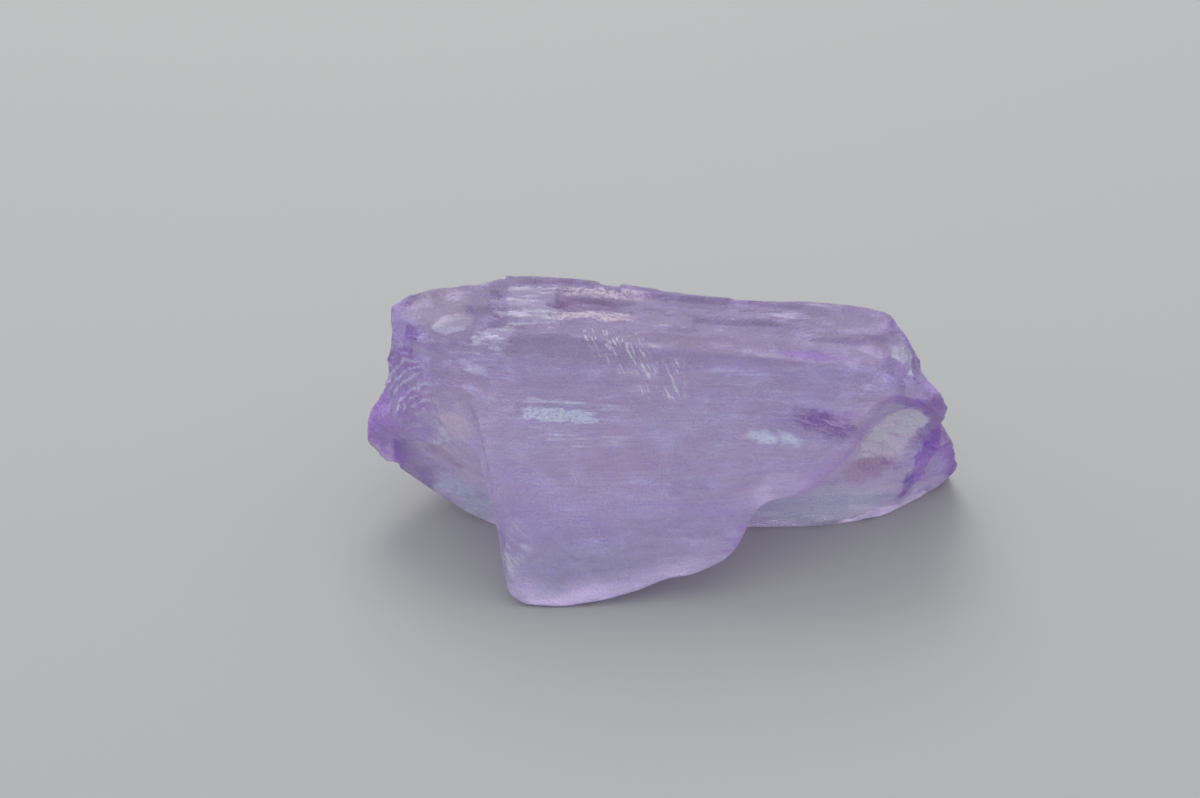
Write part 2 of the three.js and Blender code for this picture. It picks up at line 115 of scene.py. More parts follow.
CORE = np.array([[-13.0, 12.4, 8.6], [13.0, 12.4, 7.0]])    # the core's axis, from which breaks are cut
LEFT_MIDDLE = np.array([-17.9, 12.7, 8.6])
RIGHT_MIDDLE = np.array([18.7, 12.4, 4.4])
LOBE = np.array([19.2, 12.6, 1.9])
LOBE_REACH = np.array([3.4, 2.7, 2.9])
LOBE_HEIGHT = 1.5
LOBE_START = 14    # no point left of this x moves with the lobe
GRAIN_FALL = 0.07    # the grain falls this much to the right, per millimetre of length
BLADE_EDGE = [    # the blade's left edge stands out along these (z, x)
    (3.0, -10.3), (4.6, -10.4), (6.9, -10.8), (8.7, -11.2), (10.3, -11.6), (11.6, -12.3)]
BLADE_LIFT = 0.35
FLATS = [    # flat breaks: a point on the plane and the way it faces
    ((-14.3, 10.8, 14.8), (-0.26, -0.33, 1.0)),
    ((-19.2, 10.7, 6.4), (-1.0, -0.3, 0.05)),
    ((-17.95, 11.9, 12.6), (-0.95, -0.15, 0.30)),
    ((-17.7, 14.2, 9.0), (-0.85, 0.5, 0.1)),
    ((-18.5, 12.6, 4.0), (-0.7, 0.1, -0.6)),
    ((15.0, 10.4, 13.05), (0.5, -0.45, 0.74)),
    ((16.1, 10.7, 13.2), (0.75, 0.1, 0.65)),
    ((10.8, 10.6, 14.12), (0.10, -0.13, 1.0)),
    ((15.85, 14.0, 9.1), (0.8, 0.5, 0.33)),
    ((2.8, 1.5, 2.15), (0.35, -0.85, -0.45)),
    ((-9.5, 15.75, 8.0), (-0.12, 1.0, 0.1)),
    ((9.0, 15.95, 6.0), (0.10, 1.0, 0.16)),
    ((2.0, 15.55, 12.2), (0.0, 0.95, 0.3)),
]
SCOOPS = [    # shell-shaped breaks: where the skin was, the way it faced, radius, depth, stretch in x
    ((-17.3, 10.1, 10.6), (-0.75, -0.65, 0.15), 3.0, 0.3, 1.0),
    ((-16.9, 10.4, 13.3), (-0.75, -0.55, 0.4), 1.8, 0.3, 1.0),
    ((-15.6, 8.7, 12.0), (-0.6, -0.7, 0.4), 1.6, 0.25, 1.0),
    ((-15.6, 8.6, 7.9), (-0.45, -0.85, 0.1), 2.4, 0.2, 1.3),
    ((-13.4, 7.6, 7.0), (-0.4, -0.85, -0.3), 2.2, 0.2, 1.5),
    ((-15.0, 9.5, 4.2), (-0.4, -0.9, -0.2), 2.4, 0.25, 1.4),
    ((15.9, 8.9, 6.6), (0.15, -1.0, 0.15), 3.6, 0.75, 1.0),
    ((17.0, 9.9, 11.9), (0.8, 0.05, 0.6), 1.9, 1.1, 1.0),
    ((17.2, 11.4, 10.7), (0.9, 0.0, 0.44), 1.7, 0.5, 1.0),
    ((18.1, 10.4, 3.4), (0.85, -0.5, 0.1), 2.1, 0.75, 1.0),
    ((10.4, 5.5, 10.85), (0.0, -0.88, 0.47), 0.8, 0.14, 2.4),
    ((9.4, 5.1, 10.1), (0.0, -0.88, 0.47), 0.6, 0.1, 2.2),
    ((6.6, 5.1, 10.1), (0.0, -0.88, 0.47), 0.7, 0.12, 1.8),
    ((-10.1, 2.0, 4.3), (-0.75, -0.65, 0.2), 0.8, 0.12, 1.0),
    ((-10.0, 1.3, 2.8), (-0.7, -0.7, 0.2), 0.7, 0.1, 1.0),
    ((-9.8, 0.9, 1.6), (-0.6, -0.75, 0.2), 0.6, 0.08, 1.0),
]
RIPPLES = [    # rings on shell breaks: centre, how far apart, how high, where they lie, their reach
    ((-13.0, 8.0, 7.4), 0.75, 0.09, (-16.5, 9.8, 10.9), (2.0, 2.2, 2.2)),
    ((13.0, 9.0, 4.0), 0.8, 0.05, (16.3, 9.3, 6.9), (1.6, 1.6, 1.6)),
    ((14.0, 14.0, 15.0), 0.9, 0.07, (16.6, 12.0, 9.0), (1.6, 2.6, 2.6)),
    ((-15.0, 13.0, 14.0), 0.85, 0.08, (-18.0, 13.0, 7.0), (2.0, 2.6, 3.2)),
]
LEDGE_ROW = 0.3    # the width of one row of splinters at a ledge's ends
LEDGES = [    # ledges and troughs on top: x from and to, y from and to, the lift
    ((-10.6, -7.0), (9.9, 12.9), 0.2),
    ((-6.3, -1.0), (9.7, 10.7), 0.16),
    ((-6.5, -2.0), (10.9, 12.0), -0.22),
    ((-12.3, -9.3), (8.6, 9.4), 0.10),
    ((7.2, 15.0), (7.6, 8.5), 0.16),
]
BACK_LEDGES = [    # the same with z instead of y
    ((-9.0, 3.0), (8.6, 9.8), -0.2),
    ((-1.0, 12.0), (5.2, 6.2), -0.18),
    ((-12.0, -3.0), (6.6, 7.2), -0.14),
]
BLADE_LEDGES = [
    ((-9.5, -4.0), (10.75, 11.65), -0.07),
    ((-6.2, -3.6), (9.6, 10.2), -0.04),
    ((2.0, 12.0), (6.6, 7.1), 0.08),
    ((5.6, 13.2), (8.9, 9.3), 0.07),
]


def edge_curve(corners, share):
    """Points of an edge at shares of its own length. y and z are cubics in x from corner to corner. The slope
    at a corner is the harmonic mean of the rises on its two sides, or zero where they differ in sign."""
    corners = np.array(corners, float)
    x, yz = corners[:, 0], corners[:, 1:]
    width = np.diff(x)[:, None]
    rise = np.diff(yz, axis=0) / width
    before, after = rise[:-1], rise[1:]
    product = before * after
    inner = np.where(product > 0, 2 * product / np.where(product > 0, before + after, 1.0), 0.0)
    slope = np.vstack([rise[:1], inner, rise[-1:]])
    at = x[0] + (x[-1] - x[0]) * share
    k = np.clip(np.searchsorted(x, at) - 1, 0, len(x) - 2)
    t = (at - x[k])[:, None] / width[k]
    low, high = yz[k], yz[k + 1]
    bend = (t**3 - 2 * t**2 + t) * width[k] * slope[k] + (t**3 - t**2) * width[k] * slope[k + 1]
    return np.column_stack([at, low + (3 * t**2 - 2 * t**3) * (high - low) + bend])


def smooth_step(value, low, high):
    """0 below low, 1 above high, and 3t^2 - 2t^3 between, with t the share of the way."""
    t = np.clip((value - low) / (high - low), 0, 1)
    return t * t * (3 - 2 * t)


def band(value, rise_from, rise_to, fall_from, fall_to):
    """0 outside, 1 in the middle: a smooth step up times a smooth step down."""
    return smooth_step(value, rise_from, rise_to) * (1 - smooth_step(value, fall_from, fall_to))


def long_skin(share):
    """The grid of skin points, stations by lanes: each lane goes straight from its edge to the next. Two
    passes that move each point halfway to the mean of its neighbours in the ring round the edges off."""
    edges = [edge_curve(corners, share) for _, corners in EDGES]
    lanes = [
        low[:, None] + (high - low)[:, None] * (np.arange(count) / count)[None, :, None]
        for low, high, count in zip(edges, edges[1:] + edges[:1], LANES)
    ]
    grid = np.concatenate(lanes, axis=1)
    for _ in range(2):
        grid = (grid + (np.roll(grid, 1, 1) + np.roll(grid, -1, 1)) / 2) / 2
    return grid


def end_dome(ring, middle):
    """Rings that fill a broken end: at reach r, y and z lie r of the way from the middle to the outer ring,
    and x goes with r squared, so the end is a dome without a point."""
    r = (np.arange(1, END_RINGS + 1) / (END_RINGS + 1))[:, None]
    rings = middle + (ring - middle) * r[..., None]
    rings[..., 0] = middle[0] + (ring[:, 0] - middle[0]) * r**2
    return rings


def skin_faces(rows, lanes):
    """Quads between neighbouring rings, and a fan of triangles from each end's middle point to its ring."""
    row, lane = np.meshgrid(np.arange(rows - 1), np.arange(lanes), indexing="ij")
    here, beside = row * lanes + lane, row * lanes + (lane + 1) % lanes
    quads = np.stack([here, beside, beside + lanes, here + lanes], -1).reshape(-1, 4)
    lane = np.arange(lanes)
    after = (lane + 1) % lanes
    last = (rows - 1) * lanes
    left = np.column_stack([np.full(lanes, rows * lanes), after, lane])
    right = np.column_stack([np.full(lanes, rows * lanes + 1), last + lane, last + after])
    return quads, np.vstack([left, right])


def outward(points, quads, fans):
    """Unit normals of the points: the sum of the cross products of the faces round each."""
    total = np.zeros_like(points)
    for faces in (quads, fans):
        corner = points[faces]
        cross = np.cross(corner[:, 1] - corner[:, 0], corner[:, -1] - corner[:, 0])
        cross += np.cross(corner[:, 2] - corner[:, 1], corner[:, 0] - corner[:, 1])
        for c in range(faces.shape[1]):
            for axis in range(3):
                total[:, axis] += np.bincount(faces[:, c], cross[:, axis], len(points))
    return total / np.linalg.norm(total, axis=1, keepdims=True)


def folded(u):
    """Triangle wave: 0 at whole numbers, 1 halfway, straight between."""
    return 1 - np.abs(2 * (u - np.floor(u)) - 1)


def splinters(p, size):
    """Height of a splintery break, 0 to 1: three crossing triangle waves, so it is flat between its creases,
    on places that drift a little with two slow sines, in steps like the growth of a shell."""
    x, y, z = (p / size).T
    drift = 0.18 * np.sin(1.3 * y + 0.9 * z) + 0.14 * np.sin(1.7 * z - 0.8 * x + 2)
    height = folded(0.42 * y + 0.31 * z - 0.25 * x + drift)
    height += 0.6 * folded(0.23 * y - 0.61 * z + 0.3 * x + 0.31 + drift)
    height += 0.3 * folded(0.9 * y + 0.5 * z + 0.4 * x + 0.77 - drift)
    height /= 1.9
    return height + 0.02 * np.sin(60 * height)


def steady_random(i, j):
    """A number from 0 to 1 for each pair of whole numbers: the fraction of a large sine."""
    wave = np.sin(i * 127.1 + j * 311.7) * 43758.5453
    return wave - np.floor(wave)


def across_grain(p):
    """Height across the grain, which falls to the right and climbs over the top from front to back."""
    return p[:, 2] + GRAIN_FALL * p[:, 0] + 0.8 * p[:, 1]


def laths(p, width, length, seed):
    """Levels of long thin laths, -1 to 1. A lath is one row across the grain and a length of its own along x,
    and the level is its steady random number."""
    row = np.floor(across_grain(p) / width + seed)
    along = np.floor(p[:, 0] / length + 7 * steady_random(row, seed))
    return 2 * steady_random(row + 13 * seed, along) - 1


def ledges(p, side, places):
    """Sum of the lifts of all ledges at points p, each within its x range and its range of side. A ledge has
    steep sides, and its ends are splintered: each row across the grain is longer or shorter by chance."""
    row = np.floor(across_grain(p) / LEDGE_ROW)
    lift = np.zeros(len(p))
    for number, ((start, end), (low, high), height) in enumerate(places):
        x = p[:, 0] + 1.1 * (steady_random(row, number) - 0.5)
        edge = side + 0.05 * np.sin(2.1 * p[:, 0] + number)
        part = band(x, start - 0.1, start + 0.1, end - 0.1, end + 0.1)
        lift += height * part * band(edge, low - 0.08, low + 0.08, high - 0.08, high + 0.08)
    return lift


def ripples(p):
    """Sum of the lifts of all ripples: rings round a centre, sharp at the crest and uneven by a slow sine,
    which fade with the Gaussian of the distance from the place where they lie."""
    lift = np.zeros(len(p))
    for centre, pitch, height, place, reach in RIPPLES:
        away = np.linalg.norm(p - centre, axis=1) + 0.25 * np.sin(1.7 * p[:, 1] + 2.3 * p[:, 2])
        near = np.exp(-(((p - place) / reach) ** 2).sum(1))
        lift += height * near * (0.5 - np.abs(np.sin(np.pi * away / pitch)))
    return lift


def core_points(p):
    """The point of the core's axis that each point p is cut towards: at its own x, or at the axis' end."""
    share = np.clip((p[:, :1] - CORE[0, 0]) / (CORE[1, 0] - CORE[0, 0]), 0, 1)
    return CORE[0] + (CORE[1] - CORE[0]) * share


def core_rays(p):
    """Unit vectors from the core's axis to the points."""
    ray = p - core_points(p)
    return ray / np.linalg.norm(ray, axis=1, keepdims=True)


def cut_flat(p, at, facing):
    """Points beyond a plane go back to it along their rays from the core: to t = ((at - core) . facing) /
    (ray . facing) of the ray."""
    core = core_points(p)
    ray = p - core
    share = ((at - core) @ facing) / np.where(ray @ facing > 0, ray @ facing, 1)
    cut = ((p - at) @ facing > 0) & (share > 0) & (share < 1)
    return np.where(cut[:, None], core + ray * share[:, None], p)


def cut_shell(p, centre, radii):
    """Points inside an ellipsoid go back to its skin along their rays from the core: with q from its centre
    to the core and d the ray, both over the radii, t = (-q.d - sqrt((q.d)^2 - d.d (q.q - 1))) / d.d."""
    core = core_points(p)
    ray = p - core
    q, d = (core - centre) / radii, ray / radii
    qd, dd, outside = (q * d).sum(1), (d * d).sum(1), (q * q).sum(1) - 1
    inside = (((p - centre) / radii) ** 2).sum(1) < 1
    share = (-qd - np.sqrt(np.maximum(qd**2 - dd * outside, 0))) / dd
    cut = inside & (outside > 0) & (share > 0)
    return np.where(cut[:, None], core + ray * share[:, None], p)


def whole_skin():
    """The skin before it is broken, as rings of points: the left dome, the long skin and the right dome, with
    the lobe on it. Each point also gets its share of the length, and its place round the section, which
    counts edges from the top back one."""
    stations = np.concatenate([
        np.linspace(start, end, count, endpoint=False)
        for (start, count), (end, _) in zip(STRETCHES, STRETCHES[1:])
    ] + [[1.0]])
    grid = long_skin(stations)
    left = end_dome(grid[0], LEFT_MIDDLE)
    right = end_dome(grid[-1], RIGHT_MIDDLE)[::-1]
    rings = np.concatenate([left, grid, right])
    rows, lanes = rings.shape[:2]
    points = np.vstack([rings.reshape(-1, 3), LEFT_MIDDLE, RIGHT_MIDDLE])
    lobe = np.exp(-(((points - LOBE) / LOBE_REACH) ** 2).sum(1))
    points[:, 0] += LOBE_HEIGHT * lobe * (points[:, 0] > LOBE_START)

    share = np.concatenate([np.zeros(END_RINGS), stations, np.ones(END_RINGS)])
    share = np.append(np.repeat(share, lanes), [0, 1])
    place = np.concatenate([edge + np.arange(count) / count for edge, count in enumerate(LANES)])
    place = np.append(np.tile(place, rows), [0, 0])
    return points, share, place, rows, lanes


def relief(p, share, place):
    """How far each point goes outwards, and how much of that goes along its ray from the core instead of its
    normal: splinters at the broken ends, laths between them, the blade's edge and all ledges, summed."""
    on_front = band(place, *FRONT)
    on_back = band(place, *BACK)
    reach = END_REACH + BLADE_END_REACH * on_front * (share < 0.5)
    broken = 1 - smooth_step(np.minimum(share, 1 - share), 0.2 * reach, reach)
    lift = np.zeros(len(p))
    for axes, size, height in SPLINTERS:
        lift += broken * height * (splinters(p[:, axes], size) - 0.75)

    levels = laths(p, *COARSE_LATHS) + 0.5 * laths(p, *FINE_LATHS) - BACK_SINK * on_back
    height = np.interp(place, range(len(LATHS)), LATHS, period=len(LATHS))
    height *= 1 - on_front * smooth_step(p[:, 0], 12.5, 14.0)    # the big break at the right has no laths
    lift += (1 - broken) * height * levels

    edge_z, edge_x = np.array(BLADE_EDGE).T
    past_edge = p[:, 0] - np.interp(p[:, 2], edge_z, edge_x)
    blade = band(past_edge, -0.12, 0.12, 1.0, 7.0) * band(p[:, 2], 3.2, 5.0, 10.6, 12.2)
    on_top = (place < 2.6) | (place > 12.7)
    on_blade = (place > 2.2) & (place < 5.1)
    lift += BLADE_LIFT * blade * (on_blade & ~on_top)
    lift += ledges(p, p[:, 1], LEDGES) * on_top
    lift += ledges(p, p[:, 2], BLADE_LEDGES) * on_blade
    lift += ledges(p, p[:, 2], BACK_LEDGES) * on_back
    lift[np.abs(place - RESTING_PLACE) < 0.52] = 0
    return lift, np.maximum(broken, smooth_step(place, *BACK[:2]))


def broken_skin(p):
    """Points after all breaks: the flat cuts, the shell cuts, whose eggs lie so deep under the skin, and the
    ripples. Nothing is left under the floor."""
    for at, facing in FLATS:
        p = cut_flat(p, np.array(at), np.array(facing))
    for at, facing, radius, depth, stretch in SCOOPS:
        facing = np.array(facing) / np.linalg.norm(facing)
        p = cut_shell(p, at + facing * (radius - depth), radius * np.array([stretch, 1.0, 1.0]))
    p = p + core_rays(p) * ripples(p)[:, None]
    p[:, 2] = np.maximum(p[:, 2], 0)
    return p


def sharpness(rings, normal):
    """How far each point stands out from the blurred skin along its normal, in millimetres: above zero on
    ridges, below it in valleys. The blur is the mean of near points, taken again and again."""
    blurred = rings.copy()
    for _ in range(14):
        blurred = (np.roll(blurred, 1, 1) + np.roll(blurred, -1, 1) + 2 * blurred) / 4
        blurred[1:-1] = (blurred[:-2] + blurred[2:] + 2 * blurred[1:-1]) / 4
    return ((rings - blurred).reshape(-1, 3) * normal).sum(1)


points, share, place, rows, lanes = whole_skin()
quads, fans = skin_faces(rows, lanes)
lift, radial = relief(points, share, place)
along = outward(points, quads, fans) * (1 - radial)[:, None] + core_rays(points) * radial[:, None]
points = broken_skin(points + along * lift[:, None])
ridge = sharpness(points[:-2].reshape(rows, lanes, 3), outward(points, quads, fans)[:-2])
box_low, box_high = (np.array(corner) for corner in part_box("crystal"))
drawing_origin = (box_low + box_high - (points.min(0) + points.max(0)) * MM) / 2
drawing_origin[2] = box_low[2]
points = drawing_origin + points * MM

mesh = bpy.data.meshes.new("kunzite_crystal")
mesh.from_pydata(points.tolist(), [], quads.tolist() + fans.tolist())
mesh.polygons.foreach_set("use_smooth", np.ones(len(mesh.polygons), bool))
for name, value in (("ridge", np.append(ridge, [0, 0])), ("face", place)):
    mesh.attributes.new(name, "FLOAT", "POINT").data.foreach_set("value", value.astype(np.float32))
mesh.update()
crystal = bpy.data.objects.new("kunzite_crystal", mesh)
bpy.context.scene.collection.objects.link(crystal)
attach(crystal, "root")
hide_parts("crystal")


# The crystal's finish. Kunzite is clear lilac spodumene. Its etched skin is frosted and silky along the
# grain, milky where fine cleavage cracks lie under it, and clear where a fresh break lets the eye in. The
# clear and the milky stone are two shaders, mixed by where those cracks are.
class Shade:
    """A socket of a node tree. Arithmetic on it adds Math nodes, and node() adds any other node."""

    def __init__(self, tree, socket):
        self.tree = tree
        self.socket = socket

    def node(self, kind, settings=None, inputs=None, output=0):
        """Adds a node: its settings first, then the value or link of each input, and gives one output."""
        made = self.tree.nodes.new(kind)
        for name, value in (settings or {}).items():
            setattr(made, name, value)
        for name, value in (inputs or {}).items():
            if isinstance(value, Shade):
                self.tree.links.new(value.socket, made.inputs[name])
            else:
                made.inputs[name].default_value = value
        return Shade(self.tree, made.outputs[output])

    def math(self, operation, first, second=0.0, clamp=False):
        """A Math node on two values."""
        settings = {"operation": operation, "use_clamp": clamp}
        return self.node("ShaderNodeMath", settings, {0: first, 1: second})

    def __add__(self, other):
        return self.math("ADD", self, other)

    def __sub__(self, other):
        return self.math("SUBTRACT", self, other)

    def __rsub__(self, other):
        return self.math("SUBTRACT", other, self)

    def __mul__(self, other):
        return self.math("MULTIPLY", self, other)

    def __abs__(self):
        return self.math("ABSOLUTE", self)

    __radd__ = __add__
    __rmul__ = __mul__

    def step(self, low, high):
        """Smooth 0 to 1 from low to high, or 1 to 0 where low is the larger."""
        if low > high:
            return 1.0 - self.step(high, low)
        return self.node("ShaderNodeMapRange", {"interpolation_type": "SMOOTHSTEP"},
                         {"Value": self, "From Min": low, "From Max": high})


material = bpy.data.materials.new("kunzite")
material.use_nodes = True
tree = material.node_tree
tree.nodes.clear()
where = Shade(tree, tree.nodes.new("ShaderNodeTexCoord").outputs["Object"])


def vector_math(operation, *values, output=0):
    """A Vector Math node on sockets and plain vectors."""
    return where.node("ShaderNodeVectorMath", {"operation": operation}, dict(enumerate(values)), output)


drawn = vector_math("MULTIPLY_ADD", where, (1 / MM,) * 3, tuple(-drawing_origin / MM))    # drawing mm
x, y, z = (where.node("ShaderNodeSeparateXYZ", {}, {0: drawn}, axis) for axis in range(3))


def noise(scale, detail, roughness=0.5, stretch=(1.0, 1.0, 1.0), shift=(0.0, 0.0, 0.0), output=0):
    """Noise with about scale cells per millimetre, times stretch along each axis of the grain."""
    return where.node("ShaderNodeTexNoise", {}, {
        "Vector": vector_math("MULTIPLY_ADD", drawn, stretch, shift),
        "Scale": scale, "Detail": detail, "Roughness": roughness}, output)


def moved_by(wander, reach):
    """The place in the drawing, moved by up to half of reach along each axis."""
    return vector_math("MULTIPLY_ADD", vector_math("SUBTRACT", wander, (0.5, 0.5, 0.5)), reach, drawn)


def turned(point, at, reach, tilt):
    """A point of the drawing, seen from at, in an ellipsoid's half axes, which lean up to the right by tilt
    degrees."""
    return where.node("ShaderNodeMapping", {"vector_type": "TEXTURE"}, {
        "Vector": point, "Location": at, "Rotation": (0.0, -math.radians(tilt), 0.0), "Scale": reach})


grain_noise = noise(1.0, detail=1.0, stretch=(0.45, 1.3, 2.0), output="Color")
splintered = moved_by(grain_noise, (3.2, 0.9, 0.7))    # wanders along the grain
nick_noise = noise(1.6, detail=1.0, output="Color")
nicked = moved_by(nick_noise, (1.0, 0.7, 0.5))


def blot(at, reach, tilt=0.0, soft=0.3, point=splintered):
    """1 inside an ellipsoid, 0 outside, with a border that fades over soft of its reach. The border is
    splintered along the grain, unless another moved place is given."""
    return vector_math("LENGTH", turned(point, at, reach, tilt), output="Value").step(1 + soft, 1 - soft)


def block(at, reach, tilt=0.0, soft=0.15):
    """As blot, for a box with a nicked border: the largest of the three sides counts."""
    local = vector_math("ABSOLUTE", turned(nicked, at, reach, tilt))
    sides = [where.node("ShaderNodeSeparateXYZ", {}, {0: local}, axis) for axis in range(3)]
    widest = where.math("MAXIMUM", sides[0], where.math("MAXIMUM", sides[1], sides[2]))
    return widest.step(1 + soft, 1 - soft)


def lines(reach, tilt, low, high):
    """Thin lines along reach's longest axis: where noise stretched by reach passes from low to high."""
    local = turned(drawn, (0.0, 0.0, 0.0), reach, tilt)
    made = where.node("ShaderNodeTexNoise", {}, {"Vector": local, "Scale": 1.0, "Detail": 1.0})
    return made.step(low, high)


def rings(centre, tightness, uneven):
    """Sine of the distance from a point, tightness radians per millimetre, shifted by an uneven value."""
    away = vector_math("DISTANCE", drawn, centre, output="Value")
    return where.math("SINE", away * tightness + uneven)


def cells(stretch, shift):
    """Colours, one for each cell of a broken pattern: random vectors from 0 to 1 in flat patches."""
    at = vector_math("MULTIPLY_ADD", splintered, stretch, shift)
    return where.node("ShaderNodeTexVoronoi", {}, {"Vector": at, "Scale": 1.0}, "Color")


def attribute(name):
    """A value that the mesh carries at each of its points."""
    return where.node("ShaderNodeAttribute", {"attribute_name": name}, {}, "Fac")


def mix(first, second, factor):
    """Colour first to colour second."""
    return where.node("ShaderNodeMix", {"data_type": "RGBA"}, {0: factor, 6: first, 7: second}, 2)


silk = noise(1.0, detail=2.0, roughness=0.7, stretch=(0.16, 1.6, 2.6))
hairs = noise(1.0, detail=2.0, roughness=0.6, stretch=(0.45, 4.0, 7.5), shift=(4.0, 1.0, 2.0))
clouds = noise(0.22, detail=2.0, roughness=0.55, stretch=(0.7, 1.0, 1.1))
speckle = noise(8.0, detail=1.0, roughness=0.75)
grit = noise(5.0, detail=2.0, roughness=0.8, stretch=(0.7, 1.0, 1.3), shift=(3.0, 9.0, 4.0))
mottle = noise(1.0, detail=3.0, roughness=0.65, stretch=(0.6, 1.0, 1.2), shift=(8.0, 3.0, 1.0))
veils = noise(1.0, detail=1.0, roughness=0.55, stretch=(0.3, 0.9, 1.5), shift=(6.0, 0.0, 3.0))
veils = veils.step(0.54, 0.70)
lined = hairs.step(0.50, 0.56)
lath_cells = cells((0.10, 0.75, 1.25), (3.0, 1.0, 2.0))
chip_cells = cells((0.85, 0.85, 0.85), (1.0, 5.0, 4.0))
lath_shade = where.node("ShaderNodeSeparateXYZ", {}, {0: lath_cells})
chip_light_and_shade = where.node("ShaderNodeSeparateXYZ", {}, {0: chip_cells})

face = attribute("face")
on_ridge = attribute("ridge").step(0.02, 0.22)
top = z.step(13.4, 14.8)
off_middle = abs(x + 0.2)
breaks = off_middle.step(12.5, 16.5)
lip_edge = face.step(4.3, 5.1) * face.step(5.6, 5.4) * x.step(6.0, 9.5) * y.step(9.0, 8.5)
past_lip = face.step(5.25, 5.5) * y.step(12.0, 11.0)
clear_break = past_lip * face.step(8.1, 7.7) * blot((15.0, 9.0, 7.2), (3.2, 2.6, 1.55), 54, 0.16, nicked)
ribs = rings((13.0, 9.0, 4.0), 7.0, mottle * 4.0).step(0.45, 0.95) * nick_noise.step(0.45, 0.55)
ripple_glints = rings((-13.0, 8.0, 7.4), 12.0, mottle * 15.0).step(0.0, 0.9) * nick_noise.step(0.38, 0.48)
mostly_lined = 0.6 + 0.4 * lined


def srgb(red, green, blue):
    """Linear colour of 0 to 255 sRGB values, by the sRGB curve."""
    parts = (value / 255 for value in (red, green, blue))
    return (*(v / 12.92 if v <= 0.04045 else ((v + 0.055) / 1.055) ** 2.4 for v in parts), 1.0)


LILAC = srgb(200, 182, 240)
ROSE = srgb(210, 176, 226)
BLUISH = srgb(208, 204, 255)
WHITE = srgb(242, 244, 255)
PEARL = srgb(244, 232, 250)
CREAM = srgb(240, 216, 230)
VIOLET = srgb(184, 128, 238)
DEEP = srgb(158, 90, 224)
PLUM = srgb(182, 130, 190)
ICE = srgb(224, 228, 255)
DUSK = srgb(168, 142, 202)
INK = srgb(126, 72, 172)
